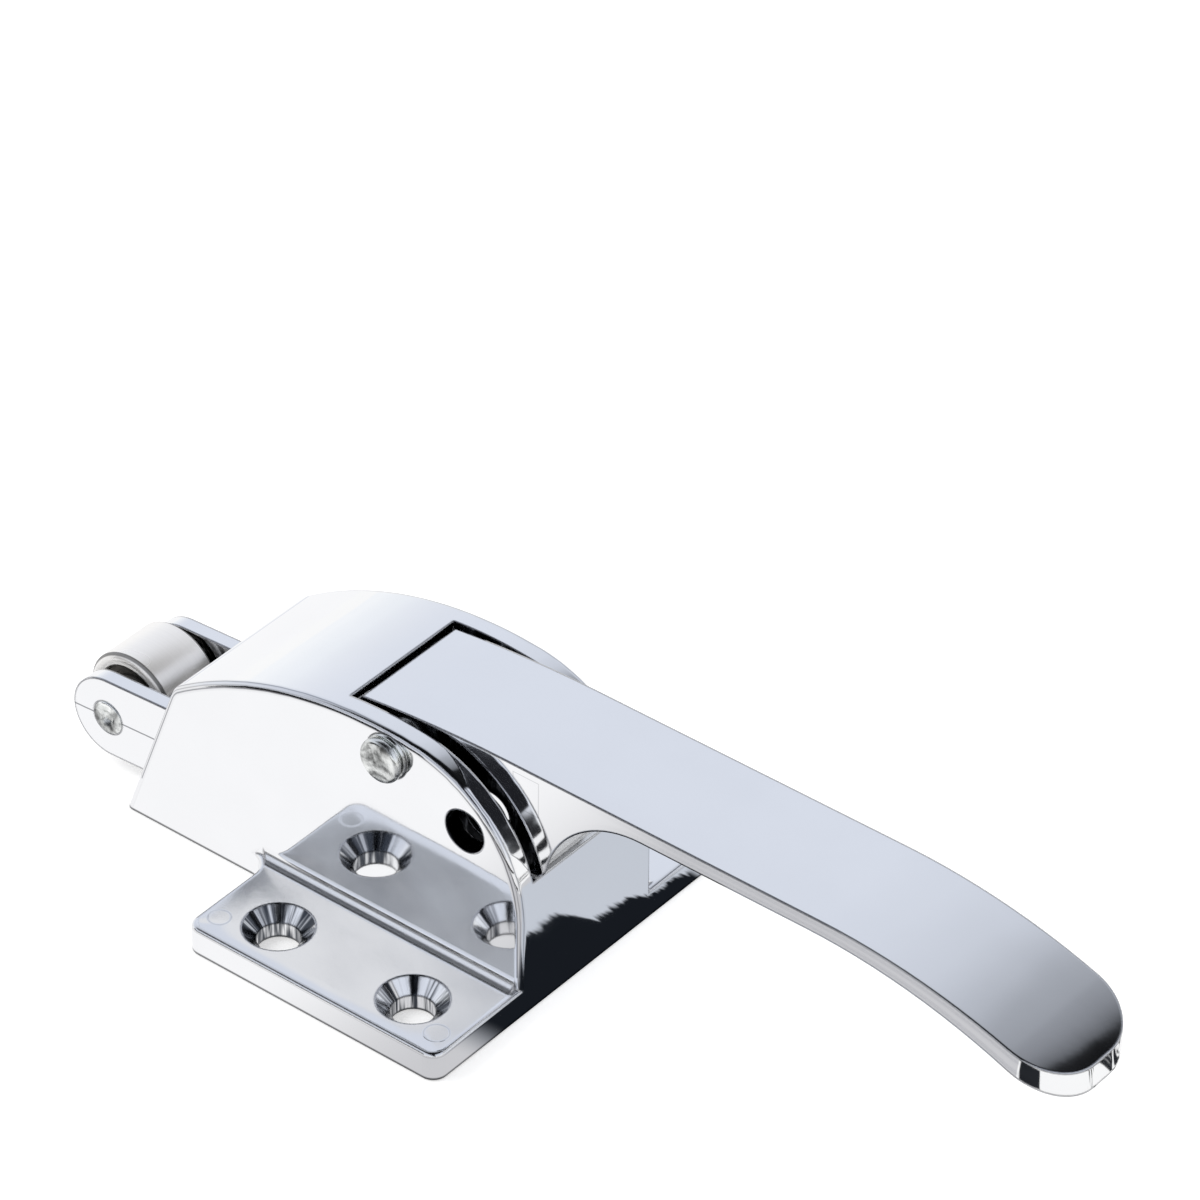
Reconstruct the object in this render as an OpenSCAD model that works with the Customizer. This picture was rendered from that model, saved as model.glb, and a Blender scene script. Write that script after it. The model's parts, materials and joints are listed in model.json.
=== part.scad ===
// Spring-bolt latch for a cold-room door: cast body, pull handle and roller bolt.
// Origin: centre of the four fixing screws, on the face that lies against the door.
// +X runs to the handle tip, +Y across the latch, +Z away from the door.

/* [Flanges] */
// Length of each flange, along the latch
flange_l = 53; // [47:0.5:64]
// Overall width across both flanges
flange_w = 76.2; // [70:0.2:96]
// Thickness of the flanges
flange_t = 5.2; // [4:0.1:8]
// Radius of the flanges' outer corners
flange_corner_r = 2.6; // [1:0.1:6]
// Radius where a flange runs into the cheek, seen from above
flange_heel_r = 4.5; // [2:0.1:7]
// Radius along the flanges' top edges
flange_edge_r = 0.7; // [0.3:0.1:0.9]
// Radius of the fillet between flange and cheek
flange_fillet_r = 2; // [0.5:0.1:3]
// Distance between screws, along the latch
screw_pitch_x = 28.5; // [24:0.1:34]
// Distance between screws, across the latch
screw_pitch_y = 58.1; // [52:0.1:62]
// Diameter of the screw holes
screw_hole_d = 7.4; // [4:0.1:8]
// Diameter of the countersinks
screw_sink_d = 12.1; // [8.5:0.1:13]

/* [Body] */
// Width over the two cheeks
body_w = 33.75; // [32:0.05:38]
// Height of the arched roof at its crest
body_h = 44.4; // [43:0.1:50]
// Length of the body at the door, from the end wall to the mouth
body_l = 85.2; // [78:0.1:92]
// Lean of the mouth from upright
mouth_lean = 20.2; // [12:0.1:26]
// Radius of the long roof arc
roof_r = 74; // [68:0.5:84]
// Radius of the brow over the end wall
brow_r = 25.4; // [22:0.1:27]
// Height where the brow starts
brow_z = 18.75; // [17:0.05:20]
// Radius of the roof's lip at the mouth
lip_r = 4.5; // [2:0.1:8]
// Radius along the outer edges of cheeks and roof
edge_r = 1.2; // [0.4:0.1:1.6]
// Wall of the roof, brow and end
wall = 3.2; // [2.6:0.1:3.8]
// Wall of the cheeks
cheek_t = 3.4; // [2.8:0.1:3.6]
// Height of the end wall's top edge
sill_z = 25; // [24:0.1:25.2]
// Width of the slot that the handle works in
slot_w = 25.7; // [24.5:0.1:26.4]
// Diameter of the cross hole for a lock pin
lock_d = 7.8; // [5:0.1:8.4]
// Place of the lock hole, from the end wall
lock_x = 11.6; // [10:0.1:13]
// Height of the lock hole
lock_z = 32.4; // [31.5:0.1:33]

/* [Handle] */
// Width of the handle
handle_w = 23.3; // [21:0.1:23.8]
// Reach of the handle past the end wall
handle_reach = 100.4; // [85:0.1:120]
// Thickness of the grip
grip_t = 2.8; // [2.4:0.1:4]
// Height of the grip's top face
grip_z = 45.6; // [45.2:0.1:47.5]
// Radius of the droop towards the tip
droop_r = 110; // [90:1:140]
// Length of the droop, along the latch
droop_l = 46; // [36:0.5:52]
// Difference between the droop's radii above and below
droop_swell = 6; // [3:0.1:8]
// Radius of the tip's corners, seen from above
tip_corner_r = 9.6; // [4:0.1:10.4]
// Radius of the crown between the slot and the grip
crown_r = 240; // [180:5:400]
// Distance from the end wall back to where the crown meets the flat grip
crown_inset = 7.5; // [4:0.1:12]
// Radius of the curve from the root to the grip
root_curve_r = 19.3; // [16:0.1:20]
// Amount that the root stands past the end wall
root_proud = 0.4; // [0.2:0.1:2]
// Radius of the hub around the pivot
hub_r = 10.4; // [9:0.1:11]
// Length of the finger, from the pivot to its tip's centre
finger_l = 25; // [23.5:0.1:25.6]
// Thickness of the finger
finger_t = 8; // [6:0.1:8.6]
// Width of the finger
finger_w = 13; // [8:0.1:14]
// Angle through which the handle lifts
handle_swing = 28; // [20:1:28]

/* [Pivot pin] */
// Diameter of the pivot pin
pivot_d = 8.05; // [6:0.05:8.4]
// Place of the pivot pin, from the end wall
pivot_x = 27.7; // [27:0.1:29]
// Height of the pivot pin
pivot_z = 39.5; // [39:0.1:39.8]
// Length of the pin that stands out of each cheek
pivot_proud = 2.4; // [1.6:0.1:4]

/* [Bolt] */
// Width over the ears of the bolt
bolt_w = 22.1; // [20:0.1:22.6]
// Height of the ears
bolt_h = 15.3; // [14:0.1:15.8]
// Thickness of each ear and side wall
ear_t = 2.95; // [2.4:0.05:3.4]
// Slope of the bolt, down towards the roller
bolt_slope = 3.3; // [2:0.1:4]
// Place of the roller pin, from the end wall
roller_x = 94.1; // [92.5:0.1:98]
// Height of the roller pin
roller_z = 10.8; // [10.6:0.05:11.4]
// Diameter of the roller
roller_d = 18.3; // [16:0.1:18.6]
// Length of the roller
roller_l = 12.6; // [9:0.1:13.6]
// Wall of the roller's steel sleeve
sleeve_t = 2.2; // [1.2:0.1:3]
// Diameter of the roller pin
roller_pin_d = 6.2; // [4:0.1:7]
// Outer diameter of the bolt spring
spring_d = 9.4; // [8:0.1:9.6]
// Wire of the bolt spring
spring_wire = 1.4; // [0.8:0.1:1.6]
// Number of turns in the bolt spring
spring_turns = 9; // [6:1:12]
// Diameter of the rod that guides the spring
guide_d = 4.5; // [3:0.1:5]

/* [Fits] */
// Gap all round between sliding pieces
slide_gap = 0.3; // [0.2:0.05:0.4]
// Gap on radius between a pin and what turns on it
turn_gap = 0.05; // [0.02:0.01:0.1]
// Free play between the finger and the bolt
finger_gap = 0.6; // [0.5:0.05:0.8]

/* [Hidden] */
$fn = 64;

chrome_tint = [0.86, 0.88, 0.91];
steel_tint = [0.70, 0.70, 0.69];
bronze_tint = [0.62, 0.52, 0.36];
spring_tint = [0.55, 0.56, 0.58];

// Length that cuts run past what they cut
over = 1;
far = 200;

// Places along X are counted from the end wall, which lies at half the flange
end_x = flange_l / 2;
mouth_x = end_x - body_l;
pin_x = end_x - pivot_x;
hole_x = end_x - lock_x;
inner_w = body_w - 2 * cheek_t;

// Roof and brow are two arcs that meet in a smooth line
brow_c = [end_x - brow_r, brow_z];
roof_rise = asin((brow_z - body_h + roof_r) / (roof_r - brow_r));
roof_c = brow_c - (roof_r - brow_r) * [cos(roof_rise), sin(roof_rise)];

// The lip arc touches the mouth and the roof from inside
mouth_dir = [sin(mouth_lean), cos(mouth_lean)];
mouth_in = [cos(mouth_lean), -sin(mouth_lean)];
lip_from = [mouth_x, 0] + mouth_in * lip_r - roof_c;
lip_run = -lip_from * mouth_dir
    + sqrt(pow(lip_from * mouth_dir, 2) - lip_from * lip_from + pow(roof_r - lip_r, 2));
lip_c = roof_c + lip_from + mouth_dir * lip_run;
lip_out = (lip_c - roof_c) / norm(lip_c - roof_c);

// The bolt's own frame starts at the roller pin and rises by its slope
axle_x = end_x - roller_x;
ear_in = bolt_w / 2 - ear_t;
along = function(x) (x - axle_x) / cos(bolt_slope);
roller_room = 1.2;
crosshead_t = 5;
crosshead_wing = 4;
crosshead_x = roller_d / 2 + roller_room;
crosshead_end = crosshead_x + crosshead_t;
deck_top = 5;
deck_t = 2.5;
push_t = 3.8;
push_x = along(pin_x + finger_t / 2 + finger_gap);
tail_x = push_x + push_t;
tail_r = 1.5;

// Window in the deck: the bolt can be pushed in while the finger stays where it is
stroke = finger_l * sin(handle_swing);
window_x = push_x - finger_t - 2 * finger_gap - stroke;

// The rails in the cheeks hold the bolt's side walls above and below
rail_lip = 1.6;
rail_t = 1.8;
rail_open = bolt_h / 2 + slide_gap;
rail_set_back = 10;
rail_from = along(mouth_x) + rail_set_back;
rail_to = tail_x;

// The spring lies under the deck, on a rod that passes through the stop and clears the finger
spring_drop = spring_d / 2 + slide_gap - (deck_top - deck_t);
rod_web = 1;
rod_from = crosshead_x + rod_web;
rod_to = along(pin_x - finger_t / 2 - finger_gap) - stroke;
rod_past_stop = 2.2;

// The stop stands across the body, with its foot in the cheeks' pockets near the door
stop_t = 2;
stop_x = rod_to - rod_past_stop - stop_t;
stop_door_gap = 0.6;
stop_low = (stop_door_gap - roller_z - stop_x * sin(bolt_slope)) / cos(bolt_slope);
stop_seat_gap = 0.05;

// The underside starts to droop a little before the top, so the grip swells towards its tip
droop_lead = 2.5;
tip_x = end_x + handle_reach;
droop_x = tip_x - droop_l;
droop_c = [droop_x, grip_z - droop_r];
under_r = droop_r - droop_swell;
under_x = droop_x - droop_lead;
under_c = [under_x, grip_z - grip_t - under_r];
root_x = end_x + root_proud;
root_curve_c = [root_x + root_curve_r, grip_z - grip_t - root_curve_r];
root_sill_gap = 0.5;
root_low = sill_z + root_sill_gap;
root_foot_l = 19.1;
root_left = root_x - root_foot_l;
root_wall = 4;

// The root's lower corner runs smoothly into the curve
root_corner_r = 2.4;
root_corner_drop = max(0, root_low + root_corner_r - root_curve_c.y);
root_corner_c = [
    root_curve_c.x - sqrt(pow(root_curve_r + root_corner_r, 2) - pow(root_corner_drop, 2)),
    root_low + root_corner_r
];
crown_x = end_x - crown_inset;
crown_c = [crown_x, grip_z - crown_r];

// Turns a drawing in X and Z upright and gives it a width along Y
module across(w) {
    rotate([90, 0, 0])
        linear_extrude(w, center = true)
            children();
}

// A straight round bar along Y
module cross_bar(x, z, d, w) {
    translate([x, 0, z])
        rotate([90, 0, 0])
            cylinder(d = d, h = w, center = true);
}

// Puts what is drawn in the bolt's frame where the bolt lies
module on_bolt() {
    translate([axle_x, 0, roller_z])
        rotate([0, -bolt_slope, 0])
            children();
}

// Copies what lies on the +Y side to the -Y side
module both_sides() {
    children();
    mirror([0, 1, 0])
        children();
}

// Side of the line through both arc centres that the roof lies on
module roof_side() {
    rise = [cos(roof_rise), sin(roof_rise)];
    polygon([
        roof_c - rise * far, roof_c + rise * far,
        roof_c + rise * far - [far * 2, 0], roof_c - rise * far - [far * 2, 0]
    ]);
}

// Outline under roof and brow, moved in by a margin, still open at the mouth
module arch(inset) {
    intersection() {
        translate(roof_c)
            circle(roof_r - inset, $fn = 180);
        roof_side();
    }
    translate(brow_c)
        circle(brow_r - inset, $fn = 120);
    translate([brow_c.x, -over])
        square([brow_r - inset, brow_z + over]);
}

// Outline of a cheek, moved in by a margin from roof, end and mouth
module cheek_outline(inset) {
    foot = [mouth_x, 0] + mouth_in * inset;
    lip_t = lip_r - inset;
    difference() {
        intersection() {
            arch(inset);
            polygon([
                foot - mouth_dir * foot.y / mouth_dir.y, [end_x + over, 0],
                [end_x + over, far], foot + mouth_dir * far
            ]);
        }
        difference() {
            polygon([
                lip_c, lip_c - mouth_in * lip_t,
                lip_c + (lip_out - mouth_in) * lip_t, lip_c + lip_out * lip_t
            ]);
            translate(lip_c)
                circle(lip_t);
        }
    }
}

// Solid body with its outer edges rounded in steps of 15 degrees
module rounded_body() {
    hull()
        for (turn = [0 : 15 : 90])
            across(body_w - 2 * edge_r * (1 - cos(turn)))
                cheek_outline(edge_r * (1 - sin(turn)));
}

// Outline of the +Y flange from above, moved in by a margin, with its heel beside the cheek
function flange_outline(inset) =
    let (
        inner_y = body_w / 2 - cheek_t / 2,
        corner_y = flange_w / 2 - flange_corner_r,
        corner_x = end_x - flange_corner_r,
        heel_c = [-end_x - flange_heel_r, body_w / 2 + flange_heel_r]
    )
    [
        [end_x - inset, inner_y],
        for (turn = [0 : 10 : 90])
            [corner_x, corner_y] + (flange_corner_r - inset) * [cos(turn), sin(turn)],
        for (turn = [90 : 10 : 180])
            [-corner_x, corner_y] + (flange_corner_r - inset) * [cos(turn), sin(turn)],
        for (turn = [0 : 10 : 90])
            heel_c + (flange_heel_r + inset) * [cos(turn), -sin(turn)],
        [heel_c.x, inner_y]
    ];

// Plate of the +Y flange, with its top edge rounded in three steps
module flange_plate() {
    layers = [
        [0, 0],
        for (turn = [0 : 30 : 90])
            [flange_edge_r * (1 - cos(turn)), flange_t - flange_edge_r * (1 - sin(turn))]
    ];
    n = len(flange_outline(0));
    points = [
        for (layer = layers)
            for (p = flange_outline(layer[0]))
                [p.x, p.y, layer[1]]
    ];
    sides = [
        for (k = [0 : len(layers) - 2])
            for (i = [0 : n - 1])
                [k * n + i, (k + 1) * n + i, (k + 1) * n + (i + 1) % n, k * n + (i + 1) % n]
    ];
    bottom = [for (i = [0 : n - 1]) i];
    top = [for (i = [n - 1 : -1 : 0]) (len(layers) - 1) * n + i];
    polyhedron(points, concat(sides, [bottom, top]), convexity = 4);
}

// Fillet between the +Y flange and the cheek, whose end follows the heel
module flange_fillet() {
    heel_c = [-end_x - flange_heel_r, body_w / 2 + flange_heel_r];
    set_back = 0.1;
    difference() {
        translate([heel_c.x, body_w / 2 - over, flange_t - over])
            cube([end_x - edge_r - heel_c.x, flange_fillet_r + over, flange_fillet_r + over]);
        translate([heel_c.x - over, body_w / 2 + flange_fillet_r, flange_t + flange_fillet_r])
            rotate([0, 90, 0])
                cylinder(r = flange_fillet_r, h = end_x - heel_c.x + 2 * over, $fn = 48);
        translate([heel_c.x, heel_c.y, 0])
            cylinder(r = flange_heel_r + flange_edge_r + set_back, h = flange_t + flange_fillet_r + over);
    }
}

// One flange on the +Y side, drilled for its two screws
module flange() {
    difference() {
        union() {
            flange_plate();
            flange_fillet();
        }
        for (x = [-1, 1])
            translate([x * screw_pitch_x / 2, screw_pitch_y / 2, 0])
                screw_hole();
    }
}

// Through hole with a 90 degree countersink that opens at the flange's top
module screw_hole() {
    sink_h = (screw_sink_d - screw_hole_d) / 2;
    translate([0, 0, -over])
        cylinder(d = screw_hole_d, h = flange_t + 2 * over);
    translate([0, 0, flange_t - sink_h])
        cylinder(d1 = screw_hole_d, d2 = screw_sink_d + 2 * over, h = sink_h + over);
}

// Guide rail on the +Y cheek: a pad with a lip above and below the bolt's side wall
module guide_rail() {
    pad_y = bolt_w / 2 + slide_gap;
    lip_y = bolt_w / 2 - rail_lip;
    on_bolt()
        difference() {
            translate([rail_from, lip_y, -rail_open - rail_t])
                cube([rail_to - rail_from, inner_w / 2 + over - lip_y, 2 * (rail_open + rail_t)]);
            translate([rail_from - over, lip_y - over, -rail_open])
                cube([rail_to - rail_from + 2 * over, pad_y - lip_y + over, 2 * rail_open]);
        }
}

// Pocket block on the +Y cheek, under the rail, that takes one end of the spring stop
module stop_pocket() {
    block_l = 7.5;
    block_low = stop_low - slide_gap;
    lip_y = bolt_w / 2 - rail_lip;
    on_bolt()
        difference() {
            translate([stop_x + stop_t / 2 - block_l / 2, lip_y, block_low])
                cube([block_l, inner_w / 2 + over - lip_y, -rail_open - block_low]);
            stop_slot();
        }
}

// Space for the ends of the spring stop
module stop_slot() {
    translate([stop_x - stop_seat_gap, -inner_w / 2, stop_low - over])
        cube([stop_t + 2 * stop_seat_gap, inner_w, -rail_open - stop_low + over]);
}

// Cast boss around the pivot bore, on the inside of the +Y cheek
module pivot_boss() {
    boss_t = 2.4;
    boss_y = handle_w / 2 + slide_gap;
    translate([pin_x, inner_w / 2 + over, pivot_z])
        rotate([90, 0, 0])
            cylinder(r = pivot_d / 2 + boss_t, h = inner_w / 2 + over - boss_y);
}

// Cast body: cheeks, arched roof, end wall and flanges in one piece
module housing() {
    color(chrome_tint)
        difference() {
            union() {
                difference() {
                    union() {
                        rounded_body();
                        both_sides()
                            flange();
                    }
                    across(inner_w)
                        arch(wall);
                }
                intersection() {
                    both_sides() {
                        difference() {
                            guide_rail();
                            on_bolt()
                                stop_slot();
                        }
                        stop_pocket();
                        pivot_boss();
                    }
                    across(body_w - 2 * edge_r)
                        cheek_outline(edge_r);
                }
            }
            // Slot for the handle, open over the end wall
            translate([pin_x - hub_r - 2 * slide_gap, -slot_w / 2, sill_z])
                cube([far, slot_w, far]);
            cross_bar(pin_x, pivot_z, pivot_d, body_w + 2 * over);
            cross_bar(hole_x, lock_z, lock_d, body_w + 2 * over);
        }
}

// Everything below the handle's top line: crown, flat grip and droop
module handle_top() {
    intersection() {
        translate(crown_c)
            circle(crown_r, $fn = 360);
        translate([crown_x - far, -far])
            square([far, 2 * far]);
    }
    translate([crown_x, -far])
        square([droop_x - crown_x, far + grip_z]);
    intersection() {
        translate(droop_c)
            circle(droop_r, $fn = 360);
        translate([droop_x, -far])
            square([far, 2 * far]);
    }
}

// The space under the grip, from the root's curve to the tip
module under_grip() {
    translate([root_curve_c.x, -far])
        square([under_x - root_curve_c.x, far + grip_z - grip_t]);
    intersection() {
        translate(under_c)
            circle(under_r, $fn = 360);
        translate([under_x, -far])
            square([far, 2 * far]);
    }
    translate(root_curve_c)
        circle(root_curve_r, $fn = 90);
    translate([root_x, -far])
        square([root_curve_r, far + root_curve_c.y]);
}

// Side view of grip and root
module handle_side() {
    to_corner = root_corner_c - [root_curve_c.x, min(root_curve_c.y, root_corner_c.y)];
    corner_end = root_corner_c - to_corner * root_corner_r / (root_curve_r + root_corner_r);
    difference() {
        intersection() {
            handle_top();
            union() {
                translate([pin_x, pivot_z])
                    circle(hub_r);
                polygon([
                    [pin_x, far], [pin_x, pivot_z - hub_r / 2], [root_left, root_low],
                    [root_corner_c.x, root_low], [root_corner_c.x, 0],
                    [tip_x + over, 0], [tip_x + over, far]
                ]);
            }
        }
        under_grip();
        polygon([
            root_corner_c, [root_corner_c.x, -over], [far, -over], [far, corner_end.y], corner_end
        ]);
    }
    translate(root_corner_c)
        circle(root_corner_r);
}

// Outline of the handle from above, with its rounded tip
module handle_plan() {
    translate([pin_x - hub_r - over, -handle_w / 2])
        square([tip_x - tip_corner_r - pin_x + hub_r + over, handle_w]);
    translate([pin_x, -handle_w / 2 + tip_corner_r])
        square([tip_x - pin_x, handle_w - 2 * tip_corner_r]);
    for (y = [-1, 1])
        translate([tip_x - tip_corner_r, y * (handle_w / 2 - tip_corner_r)])
            circle(tip_corner_r, $fn = 120);
}

// Cored pocket in the root, open below, that leaves even walls
module root_pocket() {
    pocket_x = pin_x + pivot_d / 2 + root_wall;
    across(handle_w - 2 * root_wall)
        difference() {
            translate([pocket_x, root_low - over])
                square([root_curve_c.x - pocket_x, grip_z - root_wall - root_low + over]);
            translate(root_curve_c)
                circle(root_curve_r + root_wall, $fn = 90);
        }
}

// Cast handle: grip, root with its hub, and the finger that draws the bolt
module handle() {
    lock_slack = 0.4;
    color(chrome_tint)
        difference() {
            union() {
                intersection() {
                    across(handle_w + 2 * over)
                        handle_side();
                    linear_extrude(far)
                        handle_plan();
                }
                across(finger_w) {
                    translate([pin_x - finger_t / 2, pivot_z - finger_l])
                        square([finger_t, finger_l - pivot_d]);
                    translate([pin_x, pivot_z - finger_l])
                        circle(d = finger_t);
                }
            }
            root_pocket();
            cross_bar(pin_x, pivot_z, pivot_d + 2 * turn_gap, handle_w + 2 * over);
            cross_bar(hole_x, lock_z, lock_d + 2 * lock_slack, handle_w + 2 * over);
        }
}

// Outline of a turned pin from the points of one end, which its other end mirrors
function both_ends(end) = concat(
    end,
    [for (i = [len(end) - 1 : -1 : 0]) [end[i].x, -end[i].y]]
);

// Turned pin that carries the handle, with a groove outside each cheek
module pivot_pin() {
    groove_w = 0.7;
    groove_depth = 0.7;
    bevel = 0.4;
    r = pivot_d / 2;
    half = body_w / 2 + pivot_proud;
    head = half - pivot_proud / 2;
    color(steel_tint)
        translate([pin_x, 0, pivot_z])
            rotate([90, 0, 0])
                rotate_extrude()
                    polygon(both_ends([
                        [r, head - groove_w], [r - groove_depth, head - groove_w],
                        [r - groove_depth, head], [r, head],
                        [r, half - bevel], [r - bevel, half], [0, half]
                    ]));
}

// Side view of an ear with the side wall behind it
module ear_side() {
    circle(d = bolt_h);
    translate([0, -bolt_h / 2])
        square([tail_x - tail_r, bolt_h]);
    translate([0, -bolt_h / 2 + tail_r])
        square([tail_x, bolt_h - 2 * tail_r]);
    for (z = [-1, 1])
        translate([tail_x - tail_r, z * (bolt_h / 2 - tail_r)])
            circle(tail_r, $fn = 32);
}

// Cast bolt: two ears, crosshead, side walls and a deck with the finger's window
module bolt_fork() {
    color(chrome_tint)
        on_bolt()
            difference() {
                union() {
                    both_sides()
                        translate([0, ear_in + ear_t / 2, 0])
                            across(ear_t)
                                ear_side();
                    // Crosshead, hollowed round the roller
                    across(2 * ear_in + ear_t)
                        difference() {
                            translate([crosshead_x - crosshead_wing, -bolt_h / 2])
                                square([crosshead_t + crosshead_wing, bolt_h / 2 + deck_top]);
                            circle(crosshead_x, $fn = 90);
                        }
                    // Deck over the spring
                    across(2 * ear_in + ear_t)
                        translate([crosshead_end - over, deck_top - deck_t])
                            square([window_x - crosshead_end + over, deck_t]);
                    // Wall that the finger pushes
                    across(2 * ear_in + ear_t)
                        translate([push_x, -bolt_h / 2 + tail_r])
                            square([push_t, bolt_h / 2 - tail_r + deck_top]);
                }
                cross_bar(0, 0, roller_pin_d, bolt_w + 2 * over);
                translate([rod_from, 0, -spring_drop])
                    rotate([0, 90, 0])
                        cylinder(d = guide_d, h = crosshead_t);
            }
}

// Steel sleeve that the roller runs on, with a bevel at each end
module roller_sleeve() {
    bevel = 0.7;
    bore_r = roller_d / 2 - sleeve_t;
    color(steel_tint)
        on_roller()
            rotate_extrude(convexity = 4)
                polygon([
                    [bore_r, -roller_l / 2], [roller_d / 2 - bevel, -roller_l / 2],
                    [roller_d / 2, -roller_l / 2 + bevel], [roller_d / 2, roller_l / 2 - bevel],
                    [roller_d / 2 - bevel, roller_l / 2], [bore_r, roller_l / 2]
                ]);
}

// Places the roller's parts on its pin, moved towards the +Y ear as it rests
module on_roller() {
    rest_play = 0.7;
    on_bolt()
        translate([0, rest_play, 0])
            rotate([90, 0, 0])
                children();
}

// Bush pressed into the sleeve, set back at both ends
module roller_bush() {
    set_back = 1;
    color(bronze_tint)
        on_roller()
            difference() {
                cylinder(r = roller_d / 2 - sleeve_t, h = roller_l - 2 * set_back, center = true);
                cylinder(d = roller_pin_d + 2 * turn_gap, h = roller_l, center = true);
            }
}

// Roller pin with a dimple riveted into each end
module roller_pin() {
    r = roller_pin_d / 2;
    dimple_r = r / 2;
    dimple_floor_r = dimple_r / 2;
    dimple = 0.8;
    bevel = 0.25;
    half = bolt_w / 2 + bevel;
    color(steel_tint)
        on_bolt()
            rotate([90, 0, 0])
                rotate_extrude()
                    polygon(both_ends([
                        [r, half - bevel], [r - bevel, half], [dimple_r, half],
                        [dimple_floor_r, half - dimple], [0, half - dimple]
                    ]));
}

// Rod fixed in the crosshead, which runs through the spring and its stop
module spring_guide() {
    color(steel_tint)
        on_bolt()
            translate([rod_from, 0, -spring_drop])
                rotate([0, 90, 0])
                    cylinder(d = guide_d, h = rod_to - rod_from);
}

// Wire section of one ring of the spring, at a turn angle and a place along it
function spring_ring(turn, x, r, wire_r, sides) = [
    for (k = [0 : sides - 1])
        let (a = 360 * k / sides, out = r + wire_r * cos(a))
            [x + wire_r * sin(a), out * cos(turn), out * sin(turn)]
];

// Compression spring between the crosshead and the stop
module bolt_spring() {
    sides = 8;
    per_turn = 12;
    wire_r = spring_wire / 2;
    mean_r = spring_d / 2 - wire_r;
    start_x = crosshead_end + slide_gap + wire_r;
    run = stop_x - slide_gap - wire_r - start_x;
    rings = spring_turns * per_turn;
    points = [
        for (i = [0 : rings])
            each spring_ring(360 * i / per_turn, start_x + run * i / rings, mean_r, wire_r, sides)
    ];
    start_cap = [[for (k = [0 : sides - 1]) k]];
    end_cap = [[for (k = [sides - 1 : -1 : 0]) rings * sides + k]];
    sides_all = [
        for (i = [0 : rings - 1], k = [0 : sides - 1])
            let (a = i * sides + k, b = i * sides + (k + 1) % sides)
                [a, a + sides, b + sides, b]
    ];
    color(spring_tint)
        on_bolt()
            translate([0, 0, -spring_drop])
                polyhedron(points, concat(start_cap, sides_all, end_cap), convexity = 10);
}

// Steel plate across the body that the spring pushes against
module spring_stop() {
    tongue_gap = 0.7;
    tongue_w = 2 * (ear_in - tongue_gap);
    foot_w = inner_w - 2 * stop_seat_gap;
    foot_top = -rail_open - stop_seat_gap;
    tongue_top = deck_top - deck_t - 2 * slide_gap;
    color(steel_tint)
        on_bolt()
            difference() {
                union() {
                    translate([stop_x, -foot_w / 2, stop_low])
                        cube([stop_t, foot_w, foot_top - stop_low]);
                    translate([stop_x, -tongue_w / 2, foot_top - over])
                        cube([stop_t, tongue_w, tongue_top - foot_top + over]);
                }
                translate([stop_x - over, 0, -spring_drop])
                    rotate([0, 90, 0])
                        cylinder(d = guide_d + 2 * slide_gap, h = stop_t + 2 * over);
            }
}

housing();
handle();
pivot_pin();
bolt_fork();
roller_sleeve();
roller_bush();
roller_pin();
spring_guide();
bolt_spring();
spring_stop();
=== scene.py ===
import json
import math

import bmesh
import bpy
from bpy.props import FloatProperty, FloatVectorProperty, PointerProperty
from mathutils import Matrix, Vector


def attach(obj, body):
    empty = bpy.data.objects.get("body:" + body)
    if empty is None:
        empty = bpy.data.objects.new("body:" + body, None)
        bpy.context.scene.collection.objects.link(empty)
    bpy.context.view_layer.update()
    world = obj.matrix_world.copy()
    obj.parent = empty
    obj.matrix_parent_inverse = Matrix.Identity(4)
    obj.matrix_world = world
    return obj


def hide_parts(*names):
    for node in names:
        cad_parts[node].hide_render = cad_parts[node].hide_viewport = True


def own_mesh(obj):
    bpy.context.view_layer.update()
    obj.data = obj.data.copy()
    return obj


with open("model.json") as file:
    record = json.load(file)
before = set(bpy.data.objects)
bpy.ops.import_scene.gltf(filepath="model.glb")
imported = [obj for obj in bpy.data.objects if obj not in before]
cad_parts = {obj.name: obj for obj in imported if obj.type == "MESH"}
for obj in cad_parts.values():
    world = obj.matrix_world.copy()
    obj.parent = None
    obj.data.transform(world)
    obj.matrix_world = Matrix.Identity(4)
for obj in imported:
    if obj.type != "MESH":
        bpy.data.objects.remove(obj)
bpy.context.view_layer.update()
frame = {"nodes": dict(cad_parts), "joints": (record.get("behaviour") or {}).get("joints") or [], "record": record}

bl_info = {
    "name": "Freezer door latch",
    "version": (1, 0, 0),
    "blender": (4, 5, 0),
    "location": "View3D > Sidebar > Latch",
    "description": "Dresses a cold-room latch: chrome castings, worn pins and a satin roller",
    "category": "Object",
}

MOUNTS = {mount["name"]: mount for mount in frame["record"]["mounts"]}
SCREWS = MOUNTS["screw_holes"]["dims"]
LOCK_X, _, LOCK_Z = MOUNTS["lock_hole"]["pos_m"]
AXLE_X, _, AXLE_Z = MOUNTS["roller_nose"]["pos_m"]

# The handle's pivot, and how much the bolt's way rises for each unit along X.
PIVOT = (-0.0012, 0, 0.0395)
BOLT_RISE = 0.05766

# Half the roller's width, its play to one side, how far its bush lies inside its ends, and the sides of a turned mesh.
ROLLER_HALF = 0.0063
ROLLER_PLAY = 0.0007
BUSH_INSET = 0.001
TURNED_SIDES = 96

# The coil's turns, mean radius, length and wire radius. The CAD spring gives the length that is used.
COIL = {"Turns": 9.0, "Radius": 0.004, "Length": 0.03, "Wire": 0.0007}

# Width of the border of a painted mark.
FINE = 0.0001

# Handle: radius inside which a surface is the lock bore, and the gate mark's centre and half sizes.
HANDLE_BORE = 0.0044
GATE_X, GATE_Z, GATE_WIDE, GATE_HIGH = 0.0231, 0.0408, 0.0026, 0.0034

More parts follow.
